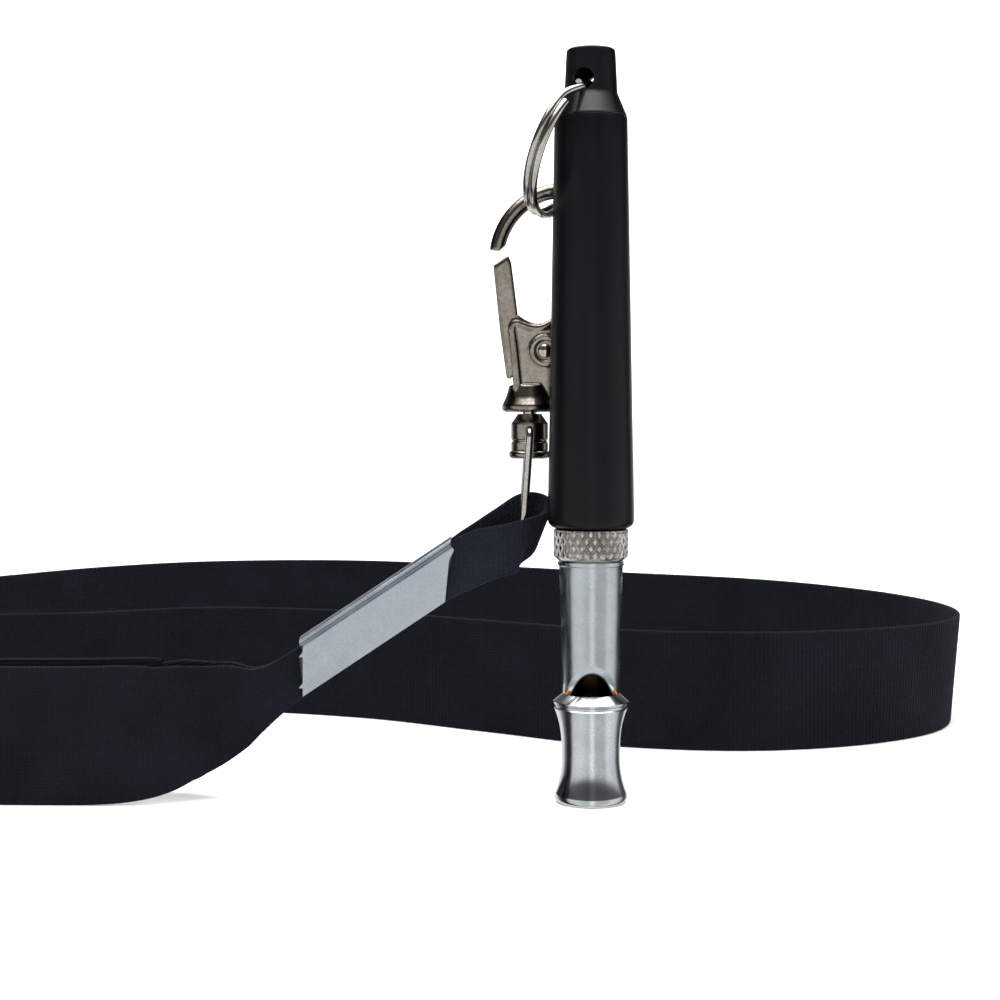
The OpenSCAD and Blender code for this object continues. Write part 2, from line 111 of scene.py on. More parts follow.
def new_piece(name, mesh, body, stands_for):
    """Puts a mesh in the scene as a piece that rides on a body and stands for CAD nodes."""
    piece = bpy.data.objects.new(name, mesh)
    bpy.context.scene.collection.objects.link(piece)
    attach(piece, body)
    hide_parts(*stands_for)
    print(f"{name}: {len(mesh.polygons)} faces on {body}, in place of {', '.join(stands_for)}")
    return piece


# %% [markdown]
# Joins between faces that meet at more than a set angle stay sharp, as on a machined edge.

# %% Tidy a mesh and carve it
SHARP_DEG = 32


def tidy(mesh, sharp_deg=SHARP_DEG):
    """Merges doubled points, drops faces of no area and keeps edges above an angle sharp."""
    work = bmesh.new()
    work.from_mesh(mesh)
    bmesh.ops.remove_doubles(work, verts=work.verts, dist=0.0005 * MM)
    bmesh.ops.dissolve_degenerate(work, edges=work.edges, dist=0.0005 * MM)
    work.to_mesh(mesh)
    work.free()
    mesh.shade_smooth()
    mesh.set_sharp_from_angle(angle=math.radians(sharp_deg))
    return mesh


def baked(mesh, add_modifiers):
    """The mesh after modifiers: add_modifiers gets a temporary object to put them on."""
    holder = bpy.data.objects.new("holder", mesh)
    bpy.context.scene.collection.objects.link(holder)
    add_modifiers(holder)
    graph = bpy.context.evaluated_depsgraph_get()
    result = bpy.data.meshes.new_from_object(holder.evaluated_get(graph))
    bpy.data.objects.remove(holder)
    return result


def carve(mesh, cutters):
    """Cuts closed cutter meshes out of a closed mesh."""
    tools = [bpy.data.objects.new("cutter", cutter) for cutter in cutters]

    def add(holder):
        for tool in tools:
            bpy.context.scene.collection.objects.link(tool)
            cut = holder.modifiers.new("cut", "BOOLEAN")
            cut.object = tool
            cut.operation = "DIFFERENCE"
            cut.solver = "EXACT"

    result = baked(mesh, add)
    for tool in tools:
        bpy.data.objects.remove(tool)
    return result


# %% [markdown]
# ## Curves
# A route is a few points with a smooth curve through them. A tube or strip carries a section along it.

# %% Smooth route and carried section
def smooth(route, steps):
    """A curve through all points of a route, each span a cubic of its four neighbours: half of
    (2b + (c - a)t + (2a - 5b + 4c - d)t^2 + (3b - a - 3c + d)t^3), for t from 0 to 1 between b and c."""
    p = np.asarray(route, float)
    a = np.vstack([p[:1], p[:-2]])[:, None]
    b, c = p[:-1][:, None], p[1:][:, None]
    d = np.vstack([p[2:], p[-1:]])[:, None]
    t = (np.arange(steps) / steps)[None, :, None]
    curve = 0.5 * (2 * b + (c - a) * t + (2 * a - 5 * b + 4 * c - d) * t**2 + (3 * b - a - 3 * c + d) * t**3)
    return np.vstack([curve.reshape(-1, p.shape[1]), p[-1:]])


def unit(vectors):
    """Each vector over its own length."""
    return vectors / np.linalg.norm(vectors, axis=-1, keepdims=True)


def frames_along(path, first_up):
    """Tangent, side and up at each point of a path: up is the given direction less its part along the
    tangent."""
    tangent = unit(np.gradient(path, axis=0))
    up = np.broadcast_to(np.asarray(first_up, float), path.shape)
    up = unit(up - (up * tangent).sum(-1, keepdims=True) * tangent)
    return tangent, np.cross(tangent, up), up


def tube(path, radius, up, around=24):
    """A round tube: path + radius (side cos a + up sin a), with a going round the section."""
    _, side, up = frames_along(path, up)
    angle = np.linspace(0, 2 * math.pi, around, endpoint=False)
    radius = np.broadcast_to(np.asarray(radius, float), len(path))[:, None, None]
    ring = side[:, None] * np.cos(angle)[:, None] + up[:, None] * np.sin(angle)[:, None]
    return path[:, None] + radius * ring


def lathe(profile, around=192, radius_at=None):
    """A turned form: each profile point (r, z) goes round as (r cos a, r sin a, z).
    radius_at(r, z, a) may change the radius, as for a thread or a knurl."""
    profile = np.asarray(profile, float)
    angle = np.linspace(0, 2 * math.pi, around, endpoint=False)[None]
    r, z = profile[:, 0][:, None], profile[:, 1][:, None]
    r = r + 0 * angle if radius_at is None else radius_at(r, z, angle)
    return np.stack([r * np.cos(angle), r * np.sin(angle), z + 0 * angle], -1)


def arc_points(x, y, radius, start_deg, end_deg, count):
    """Points (x + r cos a, y + r sin a) for a from start to end."""
    a = np.radians(np.linspace(start_deg, end_deg, count))
    return np.stack([x + radius * np.cos(a), y + radius * np.sin(a)], -1)


# %% [markdown]
# ## Neck ribbon
# The real ribbon is woven polyester, 15 mm wide and about half a millimetre thick, standing on its edge
# on the table in loose bends. It is folded narrow at both ends, where the crimp holds it.
# A flat strip on edge is a section with rounded selvages carried along one smooth route on the table.
# The route, each point with its height and width, repeats the part's own, so that it lies in its solid.

# %% Ribbon route
RIBBON_W = 15
RIBBON_T = 0.6
RIBBON_ROUTE = [
    [-23.8, 1.4, 19.5, 5], [-34, 1.4, 12.5, 5.2], [-39, 0.6, 10.3, 9.5], [-44, -0.8, 8.8, 12.5],
    [-52, -2, 7.6, 15], [-75, -1.5, 7.5, 15], [-115, 0, 7.5, 15], [-145, 8, 7.5, 15],
    [-165, 28, 7.5, 15], [-165, 52, 7.5, 15], [-145, 72, 7.5, 15], [-118, 84, 7.5, 15],
    [-100, 102, 7.5, 15], [-84, 125, 7.5, 15], [-66, 139, 7.5, 15], [-42, 142, 7.5, 15],
    [-20, 134, 7.5, 15], [8, 117, 7.5, 15], [33, 102, 7.5, 15], [48, 82, 7.5, 15],
    [54, 62, 7.5, 15], [51, 45, 7.5, 15], [40, 34, 7.5, 15], [23, 28.6, 7.5, 15],
    [5, 31.5, 7.5, 15], [-12, 42, 7.5, 15], [-30, 53, 7.5, 15], [-51, 58, 7.5, 15],
    [-72, 50, 7.5, 15], [-100, 50, 7.5, 15], [-130, 49, 7.5, 15], [-152, 38, 7.5, 15],
    [-152, 20, 7.5, 15], [-128, 8, 7.5, 15], [-90, 5, 7.5, 15], [-52, 4.4, 7.6, 15],
    [-44, 3.9, 8.8, 12.5], [-39, 3, 10.3, 9.5], [-34, 2.4, 12.5, 5.2], [-23.8, 2.4, 19.5, 5]]
RIBBON_STEPS = 14
RIBBON_LEAN_DEG = 5
ribbon_line = smooth(RIBBON_ROUTE, RIBBON_STEPS)


# %% Ribbon strip
def strip_section(half_w, half_t, faces):
    """A thin section on edge: flat sides with rounded selvages, as (up, side) pairs in shares of its halves.
    up runs as a cosine, which packs points near the edges; side keeps to 1 but falls off at the selvages."""
    a = np.linspace(0, 2 * math.pi, faces, endpoint=False)
    up = np.cos(a)
    edge = np.clip((1 - np.abs(up)) / 0.035, 0, 1)
    side = np.sign(np.sin(a)) * np.sqrt(1 - (1 - edge) ** 2)
    return up * half_w, side * half_t


def ribbon_grid(line):
    """Each point of the line carries the strip's section, with up square to the line and leaning outwards
    at the far right bend, and the section's own width and height above the table."""
    path, width = line[:, :3].copy(), np.minimum(line[:, 3], RIBBON_W)
    tangent, side, up = frames_along(path, (0, 0, 1))
    path[:, 2] = np.maximum(path[:, 2], width / 2 * up[:, 2])
    lean = np.radians(RIBBON_LEAN_DEG) * np.exp(-((path[:, 0] - 52) / 16) ** 2) * (path[:, 1] > 25)
    lean = lean[:, None]
    outwards = side * np.where(side[:, :1] < 0, -1, 1)
    up = unit(up * np.cos(lean) + outwards * np.sin(lean))
    side = np.cross(tangent, up)
    share_up, share_side = strip_section(1, 1, 64)
    thick = RIBBON_T / 2 * (1 + (RIBBON_W - width) / 18)
    along = np.concatenate([[0], np.cumsum(np.linalg.norm(np.diff(path, axis=0), axis=1))])
    grid = (path[:, None] + up[:, None] * (width / 2)[:, None, None] * share_up[:, None]
            + side[:, None] * thick[:, None, None] * share_side[:, None])
    flat = np.stack([along[:, None] + 0 * share_up, width[:, None] / 2 * share_up, 0 * grid[..., 0]], -1)
    return path, along[-1], grid, flat


ribbon_path, ribbon_length, grid, flat = ribbon_grid(ribbon_line)
neck_ribbon = new_piece("neck_ribbon_woven", grid_mesh("neck_ribbon_woven", grid, flat=flat),
                        "lanyard", ["neck_ribbon"])
print("ribbon length along its line, mm:", round(ribbon_length, 1))

# %% [markdown]
# ## End loop
# Beyond the crimp both ribbon ends are one folded, doubled band, turned round the bail. Seen from above
# it is a narrow eye; seen from the side its front layer is lower than its back one, which shows its dark
# inside. The band is a strip whose lower and upper edges are given along its way round.
# The loop is drawn closer to the real fold than its plain solid: it reaches 1 mm further right and hangs
# 0.3 mm lower.

# %% Loop round the bail
LOOP_WAY = [  # x, y, lower edge, upper edge
    [-23.8, 1.45, 17.3, 21.9], [-18, 1.4, 20.6, 26], [-15.2, 1.2, 22, 28.4], [-12.5, 0.5, 23.3, 29.6],
    [-10.2, -0.15, 24.3, 30.1], [-8.2, -0.6, 24.9, 30.55], [-6.7, -0.3, 25.3, 30.9], [-5.1, 0.55, 26.4, 31.4],
    [-4.7, 1.65, 27.5, 32.2], [-5.1, 2.75, 27.8, 33], [-6.7, 3.55, 27.6, 33.6], [-8.2, 3.85, 27.3, 33.2],
    [-10.2, 3.5, 25.9, 31.9], [-12.5, 2.9, 24.4, 30.4], [-15.2, 2.5, 22.6, 28.6], [-18, 2.4, 20.6, 26],
    [-23.8, 2.35, 17.3, 21.9]]
LOOP_SLANT, FOLD_Z = 0.39, 31.6
LOOP_T = 0.82


def loop_grid(way):
    """Along the way, each section runs from the lower to the upper edge, thick in the way's side direction.
    Near the turn, points below the fold shift left by LOOP_SLANT x drop, which slants the loop's end."""
    line = smooth(way, 10)
    path = np.stack([line[:, 0], line[:, 1], (line[:, 2] + line[:, 3]) / 2], -1)
    level = path * [1, 1, 0]
    _, side, _ = frames_along(level, (0, 0, 1))
    share_up, share_side = strip_section(1, 1, 56)
    half_h = (line[:, 3] - line[:, 2]) / 2
    half_t = LOOP_T / 2 * np.where(path[:, 0] < -15, 0.92, 1)
    along = np.concatenate([[0], np.cumsum(np.linalg.norm(np.diff(path, axis=0), axis=1))])
    grid = (path[:, None] + np.array([0, 0, 1]) * (half_h[:, None] * share_up)[..., None]
            + side[:, None] * (half_t[:, None] * share_side)[..., None])
    near_turn = np.clip((path[:, :1] + 8.4) / 3.2, 0, 1)
    drop = np.clip(FOLD_Z - grid[..., 2], -2, 6)
    grid[..., 0] -= LOOP_SLANT * drop * near_turn**2 * (3 - 2 * near_turn)
    flat = np.stack([along[:, None] + 0 * share_up, half_h[:, None] * share_up, 0 * grid[..., 0]], -1)
    return grid, flat


grid, flat = loop_grid(LOOP_WAY)
end_loop = new_piece("ribbon_loop", grid_mesh("ribbon_loop", grid, flat=flat), "lanyard", ["end_loop"])

# %% [markdown]
# ## Crimp
# A strip of satin sheet is folded over the ribbon and pressed flat, which leaves a round bead along the
# fold and small burred teeth where it was cut from its strip. Its ends are upright while it lies on a slope.
# The section, a folded sheet with its bead, is carried along the slope; where each line of the sheet
# starts and ends depends on its height, which gives the teeth.

# %% Crimp sheet
CRIMP_SLOPE_DEG = 33.6
CRIMP_LEFT, CRIMP_LEFT_H = -31.9, 14.4
CRIMP_Y = 1.9
CRIMP_HALF_H = 3.36
CRIMP_HALF_T = 1.4
CRIMP_WALL = 0.4
BEAD_H = 0.85


def crimp_section(count):
    """Outside of the fold from the front lower edge over the bead to the back lower edge, then back inside.
    Returns (y, height) with height measured upright from the slope's middle."""
    face = np.linspace(-CRIMP_HALF_H, CRIMP_HALF_H - BEAD_H, count)
    groove = 0.2 * np.exp(-((face - CRIMP_HALF_H + BEAD_H) / 0.2) ** 2)
    front = np.stack([groove - CRIMP_HALF_T + 0.14, face], -1)
    bead = arc_points(0, 0, 1, 205, -25, 26) * [CRIMP_HALF_T + 0.05, 0.5] + [0, CRIMP_HALF_H - 0.5]
    back = front[::-1] * [-1, 1]
    inner_h = np.linspace(-CRIMP_HALF_H, CRIMP_HALF_H - 0.5, count)
    inner = np.stack([0 * inner_h + CRIMP_HALF_T - CRIMP_WALL - 0.02, inner_h], -1)
    return np.vstack([front, bead, back, inner, inner[::-1] * [-1, 1]])


def crimp_grid():
    """Point (x, CRIMP_Y + y, middle(x) + height): x runs from a left end cut into teeth to a slanting
    right end."""
    section = crimp_section(56)
    y, h = section[:, 0], section[:, 1]
    tooth = np.exp(-(((h - 1.25) / 0.17) ** 2)) + np.exp(-(((h + 2.15) / 0.17) ** 2)) + (h > 2.3) * 0.9
    start = CRIMP_LEFT + 0.42 * (1 - np.clip(tooth, 0, 1)) - 0.06
    end = -15.62 + 0.1 * h + 0.45 * np.exp(-(((h - 1.7) / 0.5) ** 2))
    share = np.linspace(0, 1, 90)[:, None]
    share = share**2 * (3 - 2 * share)
    x = start + (end - start) * share
    z = CRIMP_LEFT_H + math.tan(math.radians(CRIMP_SLOPE_DEG)) * (x - CRIMP_LEFT) + h
    return np.stack([x, CRIMP_Y + y + 0 * x, z], -1)


mesh = tidy(grid_mesh("crimp_sheet", crimp_grid()))
crimp = new_piece("crimp_sheet", mesh, "lanyard", ["crimp"])

# %% [markdown]
# ## Wire bail
# One length of bright wire is bent into a long staple whose two short ends spring into pits in the barrel.
# Its line is straights joined by quarter bends in one plane, leaning four degrees.

# %% Bail
HOOK_X, HOOK_Y = -6.6, 5.3
STUB_Z = 40.5
BAIL_WIRE_R = 0.45
BAIL_HALF = 3.3
BAIL_LOW_Z = 26.3
BAIL_LEAN_DEG = 4


def bail_line():
    """Half the staple in (y, z): stub, upper bend, leg, lower bend, foot; the other half is its mirror."""
    upper = arc_points(BAIL_HALF - 0.8, STUB_Z - 0.8, 0.8, 90, 0, 10)
    lower = arc_points(BAIL_HALF - 1.7, BAIL_LOW_Z + 1.7, 1.7, 0, -90, 16)
    leg = np.linspace(upper[-1], lower[0], 20)[1:-1]
    half = np.vstack([[[1.2, STUB_Z], [1.9, STUB_Z]], upper, leg, lower, [[0.8, BAIL_LOW_Z]]])
    return np.vstack([half, half[::-1] * [-1, 1]])


def hook_leaned(yz):
    """The staple's plane, leaned about the stubs' line and set at the hook's axis."""
    drop = yz[:, 1] - STUB_Z
    lean = math.radians(BAIL_LEAN_DEG)
    return np.stack([HOOK_X + drop * math.sin(lean), HOOK_Y + yz[:, 0], STUB_Z + drop * math.cos(lean)], -1)


bail_path = hook_leaned(bail_line())
mesh = tidy(grid_mesh("bail_wire", tube(bail_path, BAIL_WIRE_R, (1, 0, 0.02))), 60)
bail = new_piece("bail_wire", mesh, "bail", ["wire_bail"])

# %% [markdown]
# ## Swivel
# The barrel is turned, with a rounded foot band and a groove above it, and two pits for the bail.
# A headed stem holds it to the hook. Both are profiles taken round the hook's axis.

# %% Barrel and stem
BARREL_LOW_Z, BARREL_HIGH_Z, BARREL_R = 37.3, 42.3, 2.1


def at_hook(grid):
    """Moves a form made round the origin to the hook's axis."""
    return grid + [HOOK_X, HOOK_Y, 0]


barrel_profile = np.vstack([
    [[0.86, BARREL_LOW_Z + 1.45], [1.5, BARREL_LOW_Z + 1.45], [1.5, BARREL_LOW_Z + 0.06]],
    arc_points(1.62, BARREL_LOW_Z + 0.12, 0.12, 180, 270, 6),
    [[2.02, BARREL_LOW_Z]],
    arc_points(1.87, BARREL_LOW_Z + 0.45, 0.45, -78, 70, 16),
    [[BARREL_R, BARREL_LOW_Z + 0.98], [BARREL_R, BARREL_LOW_Z + 1.6]],
    arc_points(BARREL_R + 0.12, BARREL_LOW_Z + 1.95, 0.26, 245, 115, 10),
    [[BARREL_R, BARREL_LOW_Z + 2.32], [BARREL_R, BARREL_HIGH_Z - 1.25]],
    arc_points(BARREL_R - 0.35, BARREL_HIGH_Z - 1.2, 0.35, 8, 52, 6),
    [[1.42, BARREL_HIGH_Z - 0.14]],
    arc_points(1.3, BARREL_HIGH_Z - 0.14, 0.14, 40, 90, 5),
    [[0.86, BARREL_HIGH_Z]]])
pit_ways = [np.array([[0, side * 1.1, STUB_Z], [0, side * 4.0, STUB_Z]]) for side in (-1, 1)]
pits = [grid_mesh("pit", at_hook(tube(way, 0.5, (0, 0, 1), 32))) for way in pit_ways]
mesh = carve(grid_mesh("barrel", at_hook(lathe(barrel_profile, 128)), wrap_rows=True), pits)
barrel = new_piece("swivel_barrel_turned", tidy(mesh), "swivel", ["swivel_barrel"])

stem_profile = np.vstack([
    [[0, BARREL_LOW_Z + 0.5]], arc_points(1.2, BARREL_LOW_Z + 0.7, 0.2, -90, 0, 6),
    [[1.4, BARREL_LOW_Z + 1.4], [0.8, BARREL_LOW_Z + 1.4], [0.8, 44.1], [0, 44.1]]])
mesh = tidy(grid_mesh("swivel_stem", at_hook(lathe(stem_profile, 64))))
stem = new_piece("swivel_stem", mesh, "hook", ["swivel_rivet"])

# %% [markdown]
# ## Snap hook
# The hook is a zinc casting, nickel plated, so every edge is soft. Its solid is already in the frame, with
# the housing, slot and flange exact. A copy is merged, rebuilt in even quads a tenth of a millimetre
# across and smoothed, which rounds the edges as casting does and takes up to 0.1 mm off the gate's tip.
# Two things are joined to it first: a turned flare, which carries the flange up into the housing, and
# a raised round rim along the housing's edge on both of its walls. Both are for looks: the solid has
# neither, so the drawn hook is slightly fuller there.

# %% Casting from a solid
def cast_copy(node, name, voxel_mm, smoothing, extras=()):
    """A copy of a CAD node with casting's soft edges: merged, rebuilt in even quads, then relaxed.
    Extra meshes, such as fillets and rims, are joined to it first."""
    mesh = NODES[node].data.copy()
    mesh.name = name
    tidy(mesh)
    work = bmesh.new()
    for source in (mesh, *extras):
        work.from_mesh(source)
    work.to_mesh(mesh)
    work.free()

    def add(holder):
        rebuild = holder.modifiers.new("rebuild", "REMESH")
        rebuild.mode = "VOXEL"
        rebuild.voxel_size = voxel_mm * MM
        relax = holder.modifiers.new("relax", "SMOOTH")
        relax.factor = 0.5
        relax.iterations = smoothing

    result = baked(mesh, add)
    result.materials.clear()
    result.shade_smooth()
    return result


# %% Flare and rims
FLARE_Z, FLARE_TOP_Z = 42.6, 46.2
lift = np.linspace(0, 1, 24)
flare_r = 1.86 + 1.22 * (1 - lift) ** 3
flare_z = FLARE_Z + 0.15 + (FLARE_TOP_Z - FLARE_Z) * lift
flare_line = np.vstack([[[0.9, FLARE_Z]], np.stack([flare_r, flare_z], -1), [[0.9, FLARE_TOP_Z + 0.2]]])
flare = grid_mesh("flare", at_hook(lathe(flare_line, 96)), wrap_rows=True)

RIM_LINE = [  # along the hook's plane from its axis, and height
    [-1.2, 44.2], [-1.45, 47], [-1.75, 49.8], [-1.98, 51.8], [-1.6, 52.4], [-0.8, 52.15], [0.3, 51.85],
    [1.4, 51.9], [2.6, 52.5]]
RIM_Y, RIM_R = 1.58, 0.5
rim_way = smooth(RIM_LINE, 8)
rims = []
for side in (-1, 1):
    rim_y = np.full(len(rim_way), HOOK_Y + side * RIM_Y)
    rim_path = np.stack([HOOK_X + rim_way[:, 0], rim_y, rim_way[:, 1]], -1)
    rims.append(grid_mesh("rim", tube(rim_path, RIM_R, (0, 1, 0))))

# %% Hook and gate
mesh = cast_copy("hook_body", "hook_casting", 0.1, 7, [flare, *rims])
hook = new_piece("hook_casting", mesh, "hook", ["hook_body"])
mesh = cast_copy("hook_gate", "hook_gate_bar", 0.1, 30)
gate = new_piece("hook_gate_bar", mesh, "gate", ["hook_gate"])

# %% Gate pin and its spring
PIVOT_X, PIVOT_Z = -4.9, 49.3
pin_profile = np.vstack([[[0, -1.9], [0.5, -1.9], [0.5, 1.9], [0.82, 1.9]],
                         arc_points(0, 0.86, 1.36, 56, 90, 10)])
pin_turned = lathe(pin_profile, 64)
pin_grid = np.stack([pin_turned[..., 0], -pin_turned[..., 2], pin_turned[..., 1]], -1)
mesh = tidy(grid_mesh("gate_pin_headed", pin_grid + [PIVOT_X, HOOK_Y, PIVOT_Z]))
pin = new_piece("gate_pin_headed", mesh, "hook", ["gate_pin"])

SPRING_TURNS = 5
turn = np.linspace(0, 2 * math.pi * SPRING_TURNS, SPRING_TURNS * 32)
spring_path = np.stack([HOOK_X + 0.62 + 2.18 * turn / turn[-1], HOOK_Y + 0.5 * np.cos(turn),
                        51.9 + 0.5 * np.sin(turn)], -1)
spring = new_piece("gate_spring_coil", grid_mesh("gate_spring_coil", tube(spring_path, 0.11, (1, 0, 0), 12)),
                   "hook", ["gate_spring"])

# %% [markdown]
# ## Split ring
# The ring is one wire wound twice round, so two coils lie side by side and cross over at one place.
# Its line goes round twice while stepping from one side to the other just before the second turn.

# %% Split ring
HANGER_Z = 78.4
HOLE_TURN_DEG = 22
RING_LEAN_DEG = 23.2
RING_R, RING_WIRE_R, RING_SAG = 7.5, 0.42, -0.19
RING_SPLIT_DEG = 342
WIRE_DEG, STEP_FROM_DEG, STEP_DEG = 686, 328, 30


def turned(points, z_deg, y_deg):
    """Leans points by y_deg about Y, then turns them by z_deg about Z."""
    cy, sy = math.cos(math.radians(y_deg)), math.sin(math.radians(y_deg))
    cz, sz = math.cos(math.radians(z_deg)), math.sin(math.radians(z_deg))
    lean = np.array([[cy, 0, sy], [0, 1, 0], [-sy, 0, cy]])
    turn = np.array([[cz, -sz, 0], [sz, cz, 0], [0, 0, 1]])
    return points @ (turn @ lean).T


def ring_line():
    """Almost twice round at the ring's radius, WIRE_DEG in all; the offset across steps over just before
    the second turn starts."""
    a = np.linspace(0, math.radians(WIRE_DEG), 420)
    step = np.clip((a - math.radians(STEP_FROM_DEG)) / math.radians(STEP_DEG), 0, 1)
    across = RING_WIRE_R * (2 * step**2 * (3 - 2 * step) - 1)
    a = a + math.radians(RING_SPLIT_DEG)
    flat_ring = np.stack([across, RING_R * np.sin(a), RING_SAG - RING_R + RING_R * np.cos(a)], -1)
    return turned(flat_ring, -HOLE_TURN_DEG, RING_LEAN_DEG) + [0, 0, HANGER_Z]


ring_path = ring_line()
ring_middle = turned(np.array([[0, 0, RING_SAG - RING_R]]), -HOLE_TURN_DEG, RING_LEAN_DEG) + [0, 0, HANGER_Z]


def ring_tube(path, radius, around=24):
    """A tube whose section is set by the direction out from the ring's middle and the ring's own axis."""
    out = unit(path - ring_middle)
    axis = turned(np.array([[1.0, 0, 0]]), -HOLE_TURN_DEG, RING_LEAN_DEG)[0]
    out = unit(out - (out @ axis)[:, None] * axis)
    a = np.linspace(0, 2 * math.pi, around, endpoint=False)[:, None]
    return path[:, None] + radius * (out[:, None] * np.cos(a) + axis * np.sin(a))


mesh = tidy(grid_mesh("ring_coil", ring_tube(ring_path, RING_WIRE_R - 0.005)), 60)
ring = new_piece("ring_coil", mesh, "ring", ["split_ring"])

# %% [markdown]
# ## Whistle tube and its thread
# The tube is turned brass with a satin nickel plate, a little wider at the top. Its sound window is a
# slanted cut through the wall, and its upper part carries a tuning thread that runs inside the handle.
# It is a profile taken round the axis, where the thread makes the radius depend on height and angle.

# %% Tube
TUBE_LOW_R, TUBE_HIGH_R, BORE_R = 3.1, 3.48, 2.5
MOUTH_LEN, SOCKET_Z, SHOULDER_Z, SHOULDER_TOP_Z = 11.8, 9.6, 25.7, 26.2
THREAD_R, THREAD_ROOT_R, THREAD_TOP_Z, THREAD_PITCH = 3.15, 2.85, 38, 1
WINDOW_SILL_Z, WINDOW_TOP_Z, WINDOW_SLOPE = 11.7, 15.3, 0.558


def threaded(r, z, angle):
    """Above the shoulder the radius is root + depth x wave, a blunt triangle wave of z / pitch - turns."""
    phase = (z / THREAD_PITCH - angle / (2 * math.pi)) % 1
    wave = np.clip(1.5 - np.abs(phase - 0.5) * 4.4, 0, 1)
    fade = np.clip((z - SHOULDER_TOP_Z - 0.3) / 0.5, 0, 1) * np.clip((THREAD_TOP_Z - 0.2 - z) / 0.5, 0, 1)
    on_thread = (z > SHOULDER_TOP_Z + 0.05) & (r > BORE_R + 0.1)
    return np.where(on_thread, THREAD_ROOT_R + (THREAD_R - THREAD_ROOT_R) * wave * fade, r + 0 * angle)


thread_z = np.arange(SHOULDER_TOP_Z + 0.1, THREAD_TOP_Z, 0.07)
tube_profile = np.vstack([
    [[BORE_R, SOCKET_Z], [2.9, SOCKET_Z], [2.9, MOUTH_LEN], [TUBE_LOW_R - 0.03, MOUTH_LEN]],
    np.linspace([TUBE_LOW_R, MOUTH_LEN + 0.05], [TUBE_HIGH_R, SHOULDER_Z - 0.05], 12),
    [[3.5, SHOULDER_Z], [3.57, SHOULDER_Z + 0.05], [3.6, SHOULDER_Z + 0.12],
     [3.6, SHOULDER_TOP_Z - 0.05], [3.56, SHOULDER_TOP_Z], [THREAD_ROOT_R, SHOULDER_TOP_Z]],
    np.stack([THREAD_ROOT_R + 0 * thread_z, thread_z], -1),
    [[BORE_R, THREAD_TOP_Z], [BORE_R, 26], [BORE_R, 14]]])
sill_y = WINDOW_SLOPE * (WINDOW_TOP_Z - WINDOW_SILL_Z) - TUBE_LOW_R - 0.07
wedge = np.array([[sill_y, WINDOW_SILL_Z], [-TUBE_LOW_R - 0.07, WINDOW_TOP_Z], [-6, WINDOW_TOP_Z + 4],
                  [-6, WINDOW_SILL_Z]])
wedge_grid = np.stack([np.column_stack([np.full(4, x), wedge]) for x in (-4.0, 4.0)])
mesh = carve(grid_mesh("tube_turned", lathe(tube_profile, 160, threaded), wrap_rows=True),
             [grid_mesh("wedge", wedge_grid)])
tube_piece = new_piece("tube_turned", tidy(mesh), "tube", ["whistle_tube"])

# %% [markdown]
# ## Mouthpiece
# The mouth end is turned brass, polished and nickel plated: a rounded foot, a waist, and an upper flare
# with a thin sharp rim. The flares grow as a power of the distance from the waist.

# %% Mouthpiece
FLARE_R, WAIST_R, WAIST_Z, MOUTH_BORE_R = 4.06, 3.19, 4.9, 2.2
rise = np.linspace(0, 1, 22)[:, None]
lower_flare = np.hstack([WAIST_R + (FLARE_R - WAIST_R) * (1 - rise) ** 2, 0.6 + (WAIST_Z - 0.6) * rise])
upper_flare = np.hstack([WAIST_R + (FLARE_R - WAIST_R) * rise**2.8, WAIST_Z + (10.25 - WAIST_Z) * rise])
mouth_profile = np.vstack([
    [[MOUTH_BORE_R, 0.25], [MOUTH_BORE_R + 0.1, 0.06], [MOUTH_BORE_R + 0.3, 0]],
    [[FLARE_R - 0.75, 0]], arc_points(FLARE_R - 0.72, 0.62, 0.62, -82, -8, 12),
    lower_flare[1:], upper_flare[1:],
    [[FLARE_R - 0.1, 10.36], [FLARE_R - 0.1, 10.62], [FLARE_R + 0.04, 10.76], [FLARE_R + 0.07, 10.9],
     [FLARE_R + 0.07, 10.98], [FLARE_R - 0.02, 11.08], [TUBE_LOW_R, MOUTH_LEN], [2.92, MOUTH_LEN],
     [2.92, SOCKET_Z], [MOUTH_BORE_R, SOCKET_Z]]])
mesh = tidy(grid_mesh("mouthpiece_polished", lathe(mouth_profile, 192), wrap_rows=True))
mouthpiece = new_piece("mouthpiece_polished", mesh, "tube", ["mouthpiece"])

# %% [markdown]
# ## Lock nut
# The nut's rim is rolled with a diamond knurl: two sets of slanting grooves cross and leave small
# pyramids. Each set is a triangle wave of angle and height, and what is left is the lower of the two.
# The nut's top is drawn 0.02 mm low, so that it doesn't share a face with the sleeve.

# %% Knurled nut
NUT_LOW_Z, NUT_HIGH_Z, NUT_R = 26.3, 29.8, 4.06
KNURL_COUNT, KNURL_ROWS_MM, KNURL_DEPTH = 27, 0.75, 0.36


def knurled(r, z, angle):
    """radius less depth x (1 - h), where h is 1.9 x min(w1, w2) kept to 1, and each w is a triangle wave
    of count x turns, plus or minus z / (2 x row)."""
    turns = KNURL_COUNT * angle / (2 * math.pi)
    climb = z / (2 * KNURL_ROWS_MM)
    waves = [1 - np.abs(((turns + s * climb) % 1) * 2 - 1) for s in (-1, 1)]
    height = np.clip(np.minimum(*waves) * 1.9, 0, 1)
    band = np.clip((z - NUT_LOW_Z - 0.42) / 0.12, 0, 1) * np.clip((NUT_HIGH_Z - 0.16 - z) / 0.12, 0, 1)
    return r - KNURL_DEPTH * (1 - height) * band * (r > NUT_R - 0.3)


